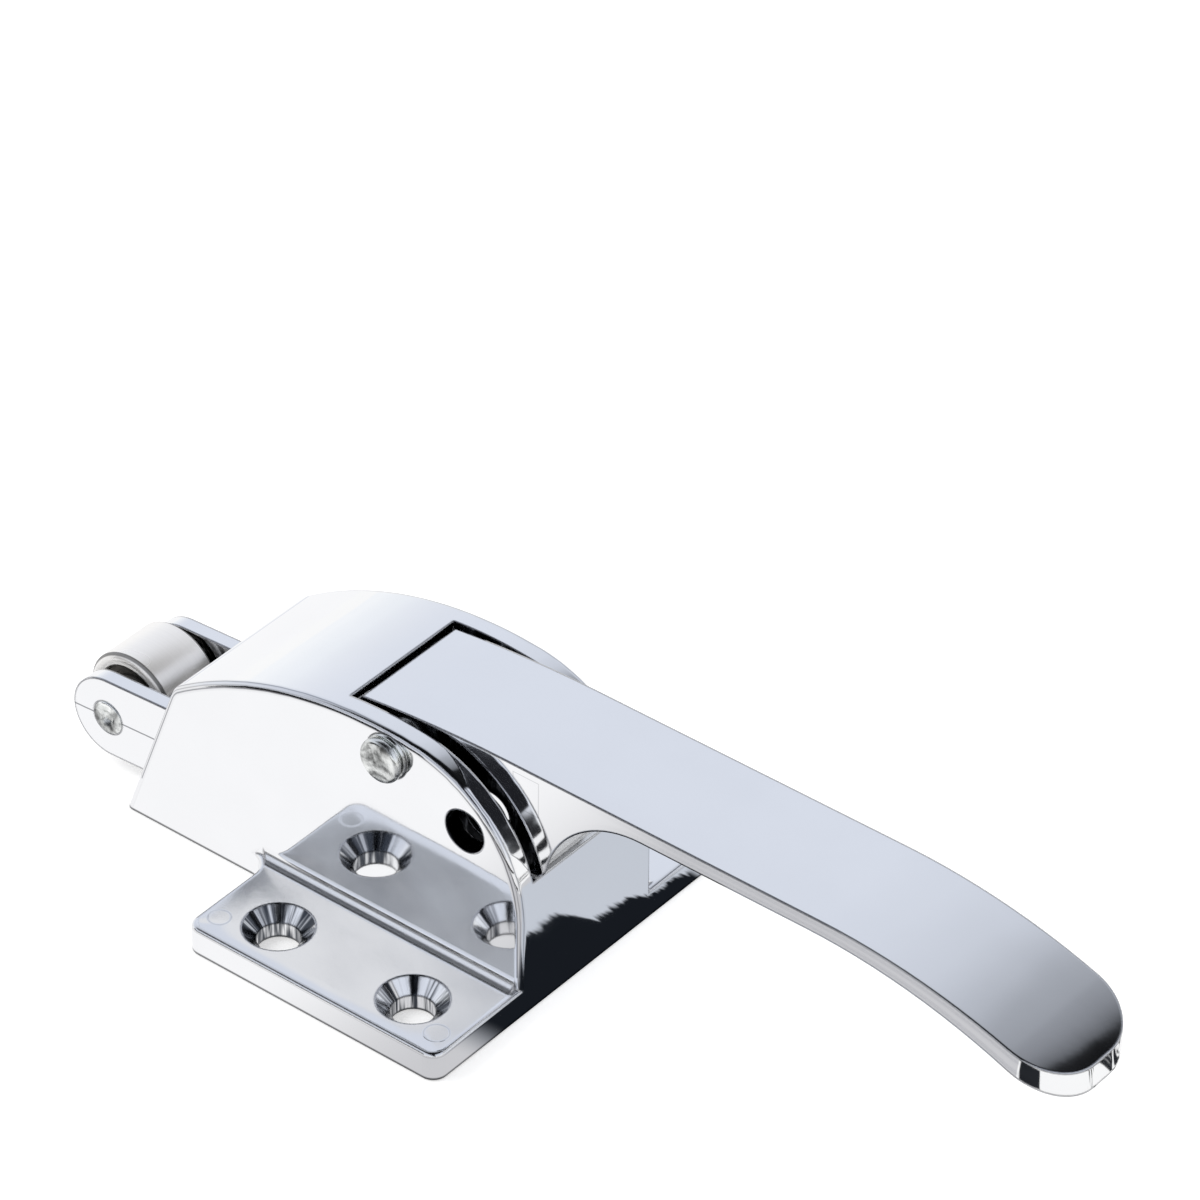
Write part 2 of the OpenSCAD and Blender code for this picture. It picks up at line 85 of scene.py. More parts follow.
# Housing: flange top, countersink and lock hole radii, the fillet beside the cheek, the lip's line on the roof,
# the cheek's inner face, and each ejector ring's X, Y and radius.
FLANGE_TOP = 0.0052
SINK_RADIUS = 0.0062
LOCK_RADIUS = 0.00398
FILLET = (0.0169, 0.0192)
LIP_X = -0.0459
CHEEK_INNER = 0.0137
EJECTOR_RINGS = ((0.0225, 0.0330, 0.0021), (-0.0232, 0.0334, 0.0019))

# Painted reflections, as dark and light lines standing in for what rounded chrome mirrors: beside a rounded edge from
# the flat face to the bend, across the cheek's rim, and across the handle's flanks.
PAINTED_EDGE_REFLECTIONS = ((0.0, (1.0, 1.0, 1.0)), (0.02, (0.6, 0.6, 0.61)), (0.06, (0.14, 0.14, 0.15)),
               (0.17, (0.14, 0.14, 0.15)), (0.3, (0.75, 0.75, 0.77)), (0.45, (0.9, 0.9, 0.9)),
               (0.62, (0.4, 0.4, 0.42)), (0.85, (0.13, 0.13, 0.14)))
PAINTED_RIM_REFLECTIONS = ((0.0, (1.0, 1.0, 1.0)), (0.12, (1.0, 1.0, 1.0)), (0.28, (0.4, 0.41, 0.43)), (0.42, (0.9, 0.9, 0.91)),
              (0.62, (0.95, 0.95, 0.95)), (0.74, (0.55, 0.55, 0.57)), (0.82, (0.95, 0.95, 0.95)),
              (0.9, (0.9, 0.9, 0.9)), (0.95, (0.25, 0.25, 0.27)), (0.985, (0.9, 0.9, 0.9)), (1.0, (1.0, 1.0, 1.0)))
PAINTED_FLANK_REFLECTIONS = ((0.0, (1.0, 1.0, 1.0)), (0.04, (0.92, 0.92, 0.93)), (0.09, (0.55, 0.56, 0.6)),
                (0.14, (1.0, 1.0, 1.0)), (0.3, (1.0, 1.0, 1.0)), (0.38, (0.5, 0.51, 0.55)), (0.46, (1.0, 1.0, 1.0)))

# The roof of the studio: its colour from the middle outwards, and how it darkens towards the gap in it.
ROOF_SHADES = ((0.0, (0.70, 0.74, 0.83)), (0.17, (0.73, 0.77, 0.86)), (0.28, (0.80, 0.83, 0.90)),
               (0.42, (0.88, 0.91, 0.96)), (0.85, (0.95, 0.97, 1.0)))
GAP_GREYS = ((0.37, 1.0), (0.63, 0.95), (0.77, 0.86), (0.81, 0.79), (0.86, 0.67), (0.90, 0.54), (0.935, 0.45),
             (0.97, 0.34), (0.992, 0.2), (1.0, 0.012))

# Each lamp's name, place, size and power, and the point that the lamps aim at.
LAMPS = (("lamp_left", (-0.7, -0.5, 0.9), 0.7, 5.0), ("lamp_back", (0.2, 0.9, 0.8), 0.8, 4.0))
LAMP_AIM = (0.02, 0, 0.02)

# Width of the camera's sensor in millimetres, the dark card's foot and height, and a point of the grip in X and Z.
SENSOR = 36
CARD_FOOT = ((-0.83, -0.48), (-0.33, -0.90))
CARD_HEIGHT = 0.27
GRIP_X, GRIP_Z = 0.11, 0.04

WHITE = (1.0, 1.0, 1.0)
NEAR_BLACK = (0.02, 0.02, 0.022)
CARD_BLACK = (0.01, 0.01, 0.012)


class LatchCastings(bpy.types.PropertyGroup):
    """Shading of the three chrome castings"""
    sharp_angle: FloatProperty(name="Sharp angle", default=math.radians(34), subtype="ANGLE",
                               description="Edges that turn more than this stay sharp")
    edge: FloatProperty(name="Edge softness", default=0.0006, unit="LENGTH",
                        description="Radius that the shading gives to sharp edges")
    # How strongly the painted reflection lines, dark and light, are laid beside the sharp edges.
    painted_edge_reflections: FloatProperty(name="Edge lines", default=0.9, min=0, max=1,
                             description="Strength of the dark lines beside the edges")
    ripple: FloatProperty(name="Ripple", default=0.25, min=0, max=1,
                          description="Strength of the slow waves left by polishing the casting")


class LatchFinishes(bpy.types.PropertyGroup):
    """Colours and roughness of the metals"""
    chrome: FloatVectorProperty(name="Chrome", default=(0.94, 0.945, 0.955), size=3, subtype="COLOR",
                                description="Colour of the polished chrome")
    chrome_roughness: FloatProperty(name="Chrome roughness", default=0.05, min=0, max=1,
                                    description="How blurred the chrome's reflections are")
    pin: FloatVectorProperty(name="Pins", default=(0.55, 0.56, 0.55), size=3, subtype="COLOR",
                             description="Colour of the turned pins")
    roller: FloatVectorProperty(name="Roller", default=(0.93, 0.915, 0.9), size=3, subtype="COLOR",
                                description="Colour of the roller")
    # The bush gets a near-black colour: painted shade for its recess inside the roller.
    bush_shade: FloatVectorProperty(name="Bush", default=(0.07, 0.065, 0.058), size=3, subtype="COLOR",
                                description="Colour of the roller's bush")
    wire: FloatVectorProperty(name="Spring wire", default=(0.4, 0.41, 0.43), size=3, subtype="COLOR",
                              description="Colour of the spring")
    plate: FloatVectorProperty(name="Stop plate", default=(0.6, 0.61, 0.63), size=3, subtype="COLOR",
                               description="Colour of the spring's stop plate")


class LatchStage(bpy.types.PropertyGroup):
    """Camera, floor and lamps"""
    azimuth: FloatProperty(name="Azimuth", default=math.radians(38.439), subtype="ANGLE",
                           description="Camera's turn about the vertical, from the latch's front")
    elevation: FloatProperty(name="Elevation", default=math.radians(36.846), subtype="ANGLE",
                             description="Camera's angle above the floor")
    roll: FloatProperty(name="Roll", default=math.radians(0.762), subtype="ANGLE",
                        description="Camera's turn about its line of sight")
    distance: FloatProperty(name="Distance", default=1.08575, unit="LENGTH",
                            description="Camera's distance from the point it aims at")
    aim: FloatVectorProperty(name="Aim", default=(0.005494, 0.028729, 0.047462), size=3, unit="LENGTH",
                             description="Point at the middle of the picture")
    lens: FloatProperty(name="Lens", default=200.8, description="Focal length in millimetres on a 36 mm sensor")
    floor_size: FloatProperty(name="Floor size", default=8.0, unit="LENGTH", description="Width of the floor")
    ceiling: FloatProperty(name="Ceiling", default=2.0, unit="LENGTH", description="Height of the studio's roof")


class Number:
    """A value socket; arithmetic on it adds Math nodes."""

    def __init__(self, nodes, socket):
        self.nodes = nodes
        self.socket = socket

    def _math(self, operation, *values):
        node = self.nodes.add("ShaderNodeMath", {"operation": operation}, dict(enumerate(values)))
        return Number(self.nodes, node.outputs[0])

    def __add__(self, other):
        return self._math("ADD", self, other)

    __radd__ = __add__

    def __sub__(self, other):
        return self._math("SUBTRACT", self, other)

    def __rsub__(self, other):
        return self._math("SUBTRACT", other, self)

    def __mul__(self, other):
        return self._math("MULTIPLY", self, other)

    __rmul__ = __mul__

    def __truediv__(self, other):
        return self._math("DIVIDE", self, other)

    def __rtruediv__(self, other):
        return self._math("DIVIDE", other, self)

    def abs(self):
        return self._math("ABSOLUTE", self)

    def root(self):
        return self._math("SQRT", self)

    def most(self, other):
        return self._math("MAXIMUM", self, other)

    def angle_from(self, other):
        return self._math("ARCTAN2", self, other)

    def ramp(self, start, end, low=0.0, high=1.0):
        """Smooth change from low to high as the value goes from start to end."""
        node = self.nodes.add("ShaderNodeMapRange", {"interpolation_type": "SMOOTHSTEP"},
                              {"Value": self, "From Min": start, "From Max": end, "To Min": low, "To Max": high})
        return Number(self.nodes, node.outputs["Result"])

    def above(self, edge, soft=FINE):
        """0 up to the edge and 1 from soft beyond it."""
        return (self - edge).ramp(0, soft)

    def below(self, edge, soft=FINE):
        """1 until soft before the edge and 0 from the edge on."""
        return (edge - self).ramp(0, soft)

    def between(self, low, high, soft=FINE):
        """1 between the edges, fading to 0 at each."""
        return self.above(low, soft) * self.below(high, soft)


def apart(across, along):
    """Distance from its two parts."""
    return (across * across + along * along).root()


class Nodes:
    """A node tree that grows by calls."""

    def __init__(self, tree):
        self.tree = tree

    def put(self, socket, value):
        if isinstance(value, Number):
            self.tree.links.new(value.socket, socket)
        elif isinstance(value, bpy.types.NodeSocket):
            self.tree.links.new(value, socket)
        elif socket.type == "RGBA":
            socket.default_value = (*value[:3], 1.0)
        else:
            socket.default_value = value

    def add(self, kind, settings=None, values=None):
        node = self.tree.nodes.new(kind)
        for key, value in (settings or {}).items():
            setattr(node, key, value)
        for key, value in (values or {}).items():
            self.put(node.inputs[key], value)
        return node


class Paint(Nodes):
    """The finish of a new material, or of a world."""

    def __init__(self, name, world=None):
        self.material = world or bpy.data.materials.new(name)
        self.material.use_nodes = True
        super().__init__(self.material.node_tree)
        self.tree.nodes.clear()
        self.output = self.tree.nodes.new("ShaderNodeOutputWorld" if world else "ShaderNodeOutputMaterial")

    def place(self):
        """Object coordinates as a vector socket."""
        return self.add("ShaderNodeTexCoord").outputs["Object"]

    def xyz(self, vector=None):
        parts = self.add("ShaderNodeSeparateXYZ", None, {0: vector or self.place()})
        return [Number(self, out) for out in parts.outputs]

    def facing(self, kind="True Normal"):
        """The surface's direction as three values."""
        return self.xyz(self.add("ShaderNodeNewGeometry").outputs[kind])

    def moved(self, vector, turn=(0, 0, 0), scale=(1, 1, 1)):
        return self.add("ShaderNodeMapping", None, {"Vector": vector, "Rotation": turn, "Scale": scale}).outputs[0]

    def noise(self, vector, scale, detail=2.0, roughness=0.5, distortion=0.0):
        node = self.add("ShaderNodeTexNoise", None,
                        {"Vector": vector, "Scale": scale, "Detail": detail, "Roughness": roughness,
                         "Distortion": distortion})
        return Number(self, node.outputs[0])

    def streaks(self, value):
        """Noise that changes with one value only."""
        return self.noise(self.add("ShaderNodeCombineXYZ", None, {0: value}).outputs[0], 1.0)

    def rays(self, *kinds):
        """1 for light rays of these kinds and 0 for all others."""
        path = self.add("ShaderNodeLightPath").outputs
        found = Number(self, path[f"Is {kinds[0]} Ray"])
        for kind in kinds[1:]:
            found = found.most(Number(self, path[f"Is {kind} Ray"]))
        return found

    def rounded(self, radius, samples):
        """The surface's direction with its edges rounded, as a vector socket."""
        return self.add("ShaderNodeBevel", {"samples": samples}, {"Radius": radius}).outputs[0]

    def lean(self, direction):
        """How far a direction leans away from the surface's own, from 0."""
        plain = self.add("ShaderNodeNewGeometry").outputs["Normal"]
        along = self.add("ShaderNodeVectorMath", {"operation": "DOT_PRODUCT"}, {0: direction, 1: plain})
        return 1 - Number(self, along.outputs["Value"])

    def mix(self, factor, first, second, blend="MIX"):
        """A colour between two colours."""
        node = self.add("ShaderNodeMix", {"data_type": "RGBA", "blend_type": blend}, {"Factor": factor})
        for socket, colour in zip([s for s in node.inputs if s.type == "RGBA"], (first, second)):
            self.put(socket, colour)
        return [s for s in node.outputs if s.type == "RGBA"][0]

    def shades(self, value, stops):
        """A colour that goes through the stops, each a place from 0 to 1 and a colour."""
        node = self.add("ShaderNodeValToRGB", None, {0: value})
        ramp = node.color_ramp
        while len(ramp.elements) < len(stops):
            ramp.elements.new(0.5)
        for element, (at, colour) in zip(ramp.elements, stops):
            element.position = at
            element.color = (*colour, 1.0)
        return node.outputs[0]

    def bump(self, height, strength, distance, under=None):
        values = {"Height": height, "Strength": strength, "Distance": distance}
        if under is not None:
            values["Normal"] = under
        return self.add("ShaderNodeBump", None, values).outputs[0]

    def glow(self, colour, strength=1.0):
        return self.add("ShaderNodeEmission", None, {"Color": colour, "Strength": strength}).outputs[0]

    def show(self, shader):
        self.put(self.output.inputs["Surface"], shader)
        return self.material

    def metal(self, base, rough, normal, metallic=1.0):
        shader = self.add("ShaderNodeBsdfPrincipled", None,
                          {"Base Color": base, "Metallic": metallic, "Roughness": rough, "Normal": normal})
        return self.show(shader.outputs[0])


def finishes():
    return bpy.context.scene.latch_finishes


def castings():
    return bpy.context.scene.latch_castings


def tinted(colour, factor):
    return tuple(c * factor for c in colour)


def chrome(name, marks):
    """Polished chrome over a die casting: soft edges with painted reflection lines beside them, a slow ripple, a thin
    haze.
    """
    paint = Paint(name)
    colour = finishes().chrome
    level = finishes().chrome_roughness
    where = paint.place()
    haze = paint.noise(where, 60, 3)
    ripple = paint.noise(where, 45, 1, 0.4)
    fine = paint.noise(where, 420)
    soft = paint.rounded(castings().edge, 8)
    # Painted reflection: dark and light lines beside each softened edge, multiplied into the colour.
    line = paint.shades(paint.lean(soft) * 3, PAINTED_EDGE_REFLECTIONS)
    base = paint.mix(haze.ramp(0.35, 0.7), tinted(colour, 0.985), colour)
    base = paint.mix(castings().painted_edge_reflections, base, line, "MULTIPLY")
    rough = haze.ramp(0.3, 0.75, level * 0.7, level * 1.4)
    normal = paint.bump(ripple, castings().ripple, 0.0004, soft)
    normal = paint.bump(fine, 0.12, 0.00001, normal)
    return paint.metal(*marks(paint, base, rough, normal))


def handle_marks(paint, base, rough, normal):
    """Painted shade in the drilled bore of the root with rings along it, a duller underside, a fine gate mark and
    painted reflection lines along the flanks.
    """
    x, y, z = paint.xyz()
    _, facing_y, facing_z = paint.facing()
    # Painted shade: the lock bore is near black, with lighter rings along it.
    bore = apart(x - LOCK_X, z - LOCK_Z).below(HANDLE_BORE)
    rings = paint.streaks(y * 900).ramp(0.5, 0.68)
    base = paint.mix(bore, base, paint.mix(rings, (0.012, 0.013, 0.015), (0.3, 0.31, 0.33)))
    under = facing_z.ramp(-0.15, -0.4) * x.ramp(0.05, 0.044)
    flank = facing_y.abs().above(0.9, 0.05)
    gate = ((x - GATE_X).abs() - GATE_WIDE).most((z - GATE_Z).abs() - GATE_HIGH).abs()
    base = paint.mix(gate.ramp(0.00016, 0.00002) * flank * 0.35, base, (0.3, 0.31, 0.33))
    # Painted reflection: dark and light lines along the flanks, from how far the rounded normal leans.
    lines = paint.shades(paint.lean(paint.rounded(0.0026, 12)) * 4, PAINTED_FLANK_REFLECTIONS)
    base = paint.mix(flank * x.above(0.03, 0.03), base, lines, "MULTIPLY")
    return base, rough + under * 0.25, normal, 1 - under * 0.9


def bolt_marks(paint, base, rough, normal):
    """Thin parting line along the outside of both ears."""
    x, y, z = paint.xyz()
    up = z - AXLE_Z - (x - AXLE_X) * BOLT_RISE
    wave = paint.noise(paint.place(), 350) * 0.00016 - 0.00008
    seam = (up + wave).abs().ramp(0.00022, 0.00006) * y.abs().above(0.0108)
    base = paint.mix(seam * 0.8, base, (0.13, 0.135, 0.15))
    return base, rough, paint.bump(seam, 0.4, 0.00005, normal)


def housing_marks(paint, base, rough, normal):
    """Countersinks with painted reflection streaks, a dull fillet, painted reflection lines on the rim and lip,
    painted shade at the foot, inside and in the lock hole, ejector rings.
    """
    x, y, z = paint.xyz()
    side = y.abs()

    # Painted reflection: dark streaks spun round each countersink.
    across = x.abs() - SCREWS["spacing_x_mm"] / 2000
    along = side - SCREWS["spacing_y_mm"] / 2000
    spun = paint.add("ShaderNodeCombineXYZ", None,
                     {0: along.angle_from(across) * 1.5, 1: z * 25 + x * 18, 2: y * 9}).outputs[0]
    streak = paint.noise(spun, 2.1, 3, 0.62)
    sunk = apart(across, along).below(SINK_RADIUS) * z.below(FLANGE_TOP - 0.00005)
    base = paint.mix(sunk * streak.ramp(0.62, 0.42), base, (0.055, 0.062, 0.075))
    fillet = side.between(*FILLET, 0.0002) * z.between(FLANGE_TOP - 0.0001, FLANGE_TOP + 0.002, 0.0002)
    rough = rough + sunk * 0.12 + fillet * 0.22

    # Painted reflection: dark and light lines across the cheek's rounded rim, set by the smooth normal's Y.
    rim = side.above(0.0156) * z.above(0.0076, 0.0004)
    base = paint.mix(rim, base, paint.shades(paint.facing("Normal")[1].abs(), PAINTED_RIM_REFLECTIONS), "MULTIPLY")
    # Painted reflection: a darker bluish line along the lip's edge on the roof.
    lip = (x - LIP_X).abs().ramp(0.00045, 0.0001) * z.above(0.028, 0.0005) * side.below(0.0158, 0.0005)
    base = paint.mix(lip * 0.6, base, (0.55, 0.6, 0.7))
    # Painted shade: near black along the bottom 0.6 mm, where the body meets the floor.
    base = paint.mix(z.ramp(0.0006, 0.0001) * 0.93, base, (0.03, 0.032, 0.036))

    # Painted shade: the cheeks' inner faces are near black with lighter grain streaks, and rougher.
    inside = side.below(CHEEK_INNER) * paint.facing()[1].abs().ramp(0.5, 0.6)
    grain = paint.noise(paint.moved(paint.place(), scale=(1, 1, 0.25)), 900, 3)
    base = paint.mix(inside, base, paint.mix(grain.ramp(0.5, 0.75), (0.016, 0.017, 0.02), (0.22, 0.23, 0.25)))
    rough = rough + inside * 0.3
    # Painted shade: the lock hole is near black.
    bore = apart(x - LOCK_X, z - LOCK_Z).below(LOCK_RADIUS, 0.00005)
    base = paint.mix(bore, base, (0.02, 0.021, 0.024))

    rings = 0.0
    for ring_x, ring_y, radius in EJECTOR_RINGS:
        rings = (apart(x - ring_x, side - ring_y) - radius).abs().ramp(0.00022, 0.00004) + rings
    base = paint.mix(rings * 0.22 * z.above(FLANGE_TOP - 0.0002), base, (0.3, 0.32, 0.36))
    return base, rough, paint.bump(rings, 0.3, 0.00004, normal)


def worn_steel(name, colour, centre):
    """Turned steel with a dull, blotched face, small scratches and rings round its centre."""
    paint = Paint(name)
    x, _, z = paint.xyz()
    where = paint.place()
    blotch = paint.noise(where, 260, 3, 0.55, 0.8)
    grain = paint.noise(where, 1500)
    scratch = paint.noise(paint.moved(where, turn=(0.3, 0.5, 0.9), scale=(1, 9, 1)), 1300)
    turning = paint.streaks(apart(x - centre[0], z - centre[2]) * 9000)
    base = paint.shades(blotch * 0.7 + grain * 0.15 + turning * 0.15,
                        ((0.38, tinted(colour, 0.16)), (0.45, tinted(colour, 0.6)), (0.52, tinted(colour, 1.2)),
                         (0.62, tinted(colour, 1.65))))
    normal = paint.bump(scratch + turning * 0.4, 0.3, 0.00005)
    return paint.metal(base, blotch.ramp(0.3, 0.65, 0.34, 0.2), normal)


def satin_roller(name, colour, centre):
    """Steel ground smooth round the roller's axle, with a painted dark reflection on the chamfer round each end."""
    paint = Paint(name)
    x, y, z = paint.xyz()
    rings = paint.streaks(y * 2600)
    cloud = paint.noise(paint.place(), 60)
    # Painted reflection: near black on the outer chamfer at each end.
    end = (y - centre[1]).abs().above(ROLLER_HALF - 0.0009) * apart(x - centre[0], z - centre[2]).above(0.0086, 0.0002)
    base = paint.mix(rings.ramp(0.35, 0.65), tinted(colour, 0.985), tinted(colour, 1.015))
    base = paint.mix(end * 0.85, base, tinted(colour, 0.12))
    return paint.metal(base, cloud.ramp(0.3, 0.7, 0.27, 0.32), paint.bump(rings, 0.1, 0.00001), 0.5)


def dull_metal(name, colour, low, high):
    """Plain metal with a fine grain."""
    paint = Paint(name)
    spots = paint.noise(paint.place(), 700, 4, 0.6)
    base = paint.mix(spots.ramp(0.3, 0.7), tinted(colour, 0.8), tinted(colour, 1.1))
    return paint.metal(base, spots.ramp(0.3, 0.7, low, high), paint.bump(spots, 0.2, 0.00004))


def stand(name, mesh, material=None):
    """An object of a mesh at the origin, in one material where one is given."""
    obj = bpy.data.objects.new(name, mesh)
    bpy.context.scene.collection.objects.link(obj)
    if material:
        dress(obj, material)
    return obj


def dress(obj, material):
    obj.data.materials.clear()
    obj.data.materials.append(material)


def give(name, mesh, material, body, node):
    """Stand a finished mesh for a CAD node, on its body."""
    obj = stand(name, mesh, material)
    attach(obj, body)
    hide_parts(node)
    return obj


def turned(name, centre, profile, closed=False):
    """Mesh of a profile of (radius, place along) in millimetres, turned about an axle along Y through centre."""
    work = bmesh.new()
    rings = []
    for radius, along in profile:
        if radius == 0:
            rings.append([work.verts.new((0, along / 1000, 0))] * TURNED_SIDES)
            continue
        turns = [math.tau * i / TURNED_SIDES for i in range(TURNED_SIDES)]
        rings.append([work.verts.new((radius / 1000 * math.cos(turn), along / 1000, radius / 1000 * math.sin(turn)))
                      for turn in turns])
    pairs = list(zip(rings, rings[1:])) + ([(rings[-1], rings[0])] if closed else [])
    for first, second in pairs:
        for i in range(TURNED_SIDES):
            j = (i + 1) % TURNED_SIDES
            corners = list(dict.fromkeys((first[i], first[j], second[j], second[i])))
            if len(corners) > 2:
                work.faces.new(corners)
    mesh = bpy.data.meshes.new(name)
    smoothed(work, mesh)
    mesh.transform(Matrix.Translation(centre))
    return mesh


def smoothed(work, mesh):
    """Fill a mesh from a finished bmesh: faces outwards, smooth but for its sharp edges."""
    bmesh.ops.recalc_face_normals(work, faces=work.faces)
    for face in work.faces:
        face.smooth = True
    work.to_mesh(mesh)
    work.free()
    mesh.set_sharp_from_angle(angle=math.radians(50))


def mirrored_ends(end):
    """A profile from the points of its -Y end, which its other end mirrors."""
    return end + [(radius, -along) for radius, along in reversed(end)]


def unfold(work):
    """Refill level faces whose triangles fold back over a hollow corner of their outline."""
    work.normal_update()
    heights = set()
    for edge in work.edges:
        if len(edge.link_faces) == 2:
            first, second = edge.link_faces
            if first.normal.dot(second.normal) < -0.999 and min(first.calc_area(), second.calc_area()) > 1e-9:
                heights.add((round(edge.verts[0].co.z, 6), edge.verts[0].co.y > 0))
    for height, far in heights:
        flat = [face for face in work.faces if abs(face.normal.z) > 0.999 and (face.verts[0].co.y > 0) == far
                and all(abs(corner.co.z - height) < 1e-6 for corner in face.verts)]
        inside = set(flat)
        rim = [edge for edge in {e for face in flat for e in face.edges}
               if any(face not in inside for face in edge.link_faces)]
        bmesh.ops.delete(work, geom=flat, context="FACES")
        rim = [edge for edge in rim if edge.is_valid]
        made = bmesh.ops.triangle_fill(work, use_beauty=True, use_dissolve=False, edges=rim, normal=(0, 0, 1))
        for face in made["geom"]:
            if isinstance(face, bmesh.types.BMFace):
                face.normal_update()
                if face.normal.z < 0:
                    face.normal_flip()


def baked(holder):
    """The mesh that an object's modifiers make. The object goes."""
    bpy.context.view_layer.update()
    depsgraph = bpy.context.evaluated_depsgraph_get()
    result = bpy.data.meshes.new_from_object(holder.evaluated_get(depsgraph), preserve_all_data_layers=True,
                                             depsgraph=depsgraph)
    source = holder.data
    bpy.data.objects.remove(holder)
    bpy.data.meshes.remove(source)
    return result


def evened(node):
    """A merged copy of a CAD node's mesh whose flat faces stay flat and whose bends shade smoothly."""
    mesh = frame["nodes"][node].data.copy()
    work = bmesh.new()
    work.from_mesh(mesh)
    bmesh.ops.remove_doubles(work, verts=work.verts, dist=1e-6)
    bmesh.ops.dissolve_degenerate(work, edges=work.edges, dist=1e-6)
    unfold(work)
    for face in work.faces:
        face.smooth = True
    work.to_mesh(mesh)
    work.free()
    given = mesh.attributes.get("custom_normal")
    if given:
        mesh.attributes.remove(given)
    mesh.set_sharp_from_angle(angle=castings().sharp_angle)
    holder = stand(node + "_work", mesh)
    level = holder.modifiers.new("even", "WEIGHTED_NORMAL")
    level.mode = "FACE_AREA"
    level.weight = 50
    level.keep_sharp = True
    result = baked(holder)
    result.name = node + "_shell"
    return result


class LATCH_OT_stage(bpy.types.Operator):
    """Camera, white floor, soft lamps and the dark cards that the chrome mirrors"""
    bl_idname = "latch.stage"
    bl_label = "Stage"

    def execute(self, context):
        scene = context.scene
        stage = scene.latch_stage
        scene.view_settings.view_transform = "Standard"
        self.camera(scene, stage)
        self.floor(stage)
        self.ceiling(stage)
        self.card()
        self.world(scene)
        self.lamps(scene)
        return {"FINISHED"}

    def camera(self, scene, stage):
        turn, height, roll = stage.azimuth, stage.elevation, stage.roll
        back = Vector((math.sin(turn) * math.cos(height), -math.cos(turn) * math.cos(height), math.sin(height)))
        level = Vector((math.cos(turn), math.sin(turn), 0))
        rise = back.cross(level)
        right = math.cos(roll) * level + math.sin(roll) * rise
        up = math.cos(roll) * rise - math.sin(roll) * level
        place = Vector(stage.aim) + stage.distance * back
        data = bpy.data.cameras.new("camera")
        data.lens = stage.lens
        data.sensor_width = SENSOR
        data.clip_end = 20
        camera = bpy.data.objects.new("camera", data)
        camera.matrix_world = Matrix((
            (right.x, up.x, back.x, place.x),
            (right.y, up.y, back.y, place.y),
            (right.z, up.z, back.z, place.z),
            (0, 0, 0, 1)))
        scene.collection.objects.link(camera)
        scene.camera = camera

    def sheet(self, name, corners, material):
        """A flat four-cornered stage piece."""
        mesh = bpy.data.meshes.new(name)
        mesh.from_pydata(corners, [], [(0, 1, 2, 3)])
        sheet = stand(name, mesh, material)
        return sheet

    def level_sheet(self, name, half, height, material):
        corners = ((-half, -half), (half, -half), (half, half), (-half, half))
        return self.sheet(name, [(x, y, height) for x, y in corners], material)

    def only_mirrored(self, obj):
        obj.visible_camera = False
        obj.visible_diffuse = False
        obj.visible_transmission = False
        obj.visible_shadow = False

    def floor(self, stage):
        """White floor, which metal sees in other tones."""
        paint = Paint("floor_white")
        matt = paint.add("ShaderNodeBsdfDiffuse", None, {"Color": (0.86, 0.86, 0.86)}).outputs[0]
        lift = paint.glow(WHITE, paint.rays("Camera") * 0.45)
        lit = paint.add("ShaderNodeAddShader", None, {0: matt, 1: lift}).outputs[0]
        both = paint.add("ShaderNodeMixShader", None, {0: paint.rays("Glossy", "Transmission"), 1: lit,
                                                       2: paint.glow(self.floor_mirrored(paint))})
        self.level_sheet("floor", stage.floor_size / 2, -0.0002, paint.show(both.outputs[0]))

    def floor_mirrored(self, paint):
        """What metal sees of the floor: darker to the right, with the dark fields that the photo's chrome shows."""
        x, y, _ = paint.xyz()
        where = paint.place()

        # Grey beside the end wall, and white again under the grip.
        seen = paint.mix(x.ramp(-0.015, 0.025), (0.99, 0.99, 1.0), (0.62, 0.62, 0.64))
        seen = paint.mix(x.ramp(0.109, 0.111), seen, WHITE)

        # Ragged dark patches that the tip mirrors.
        wander = paint.noise(where, 90, 3) * 0.012 - 0.006
        patch = (x + wander - 0.1275).abs().below(0.0155, 0.001) * (y - wander).below(-0.038, 0.004)
        stripe = paint.noise(paint.moved(where, turn=(0, 0, 0.9), scale=(1, 8, 1)), 40)
        stripes = stripe.ramp(0.5, 0.56) * x.above(0.12, 0.004) * y.above(0.018, 0.004) * y.below(0.09, 0.01)
        seen = paint.mix(patch.most(stripes), seen, (0.02, 0.022, 0.026))

        # Dark far parts at the front, and in a wedge to the front left, which the rounded edges mirror.
        seen = paint.mix(y.below(-0.2, 0.03) * x.above(-0.05, 0.1), seen, NEAR_BLACK)
        ahead = x * -0.643 + y * -0.766
        beside = (x * 0.766 - y * 0.643).abs()
        seen = paint.mix(ahead.above(0.3, 0.02) * beside.below(ahead * 0.36, 0.03), seen, CARD_BLACK)

        # The end wall mirrors a grey field, and at its foot a black one with a stepped, ragged border.
        ragged = paint.noise(where, 260) * 0.006 - 0.003
        hair = paint.noise(paint.moved(where, scale=(0.12, 1, 1)), 1300) * 0.004 - 0.002
        front = y.ramp(-0.03, -0.02)
        grey = (0.062 + ragged - y).ramp(-0.0015, 0.0015) * x.ramp(0.024, 0.027) * x.below(0.098, 0.006) * front
        seen = paint.mix(grey, seen, (0.58, 0.615, 0.68))
        steps = y.ramp(0.0075, 0.0105, 0, 0.0052) + y.ramp(0.0185, 0.0205, 0, 0.002)
        edge = 0.0392 + hair + ragged * 0.4 - x - y * 0.1 - steps
        black = edge.ramp(-0.0009, 0.0007) * x.ramp(0.024, 0.026) * y.below(0.031, 0.002) * front
        return paint.mix(black, seen, (0.009, 0.011, 0.015))

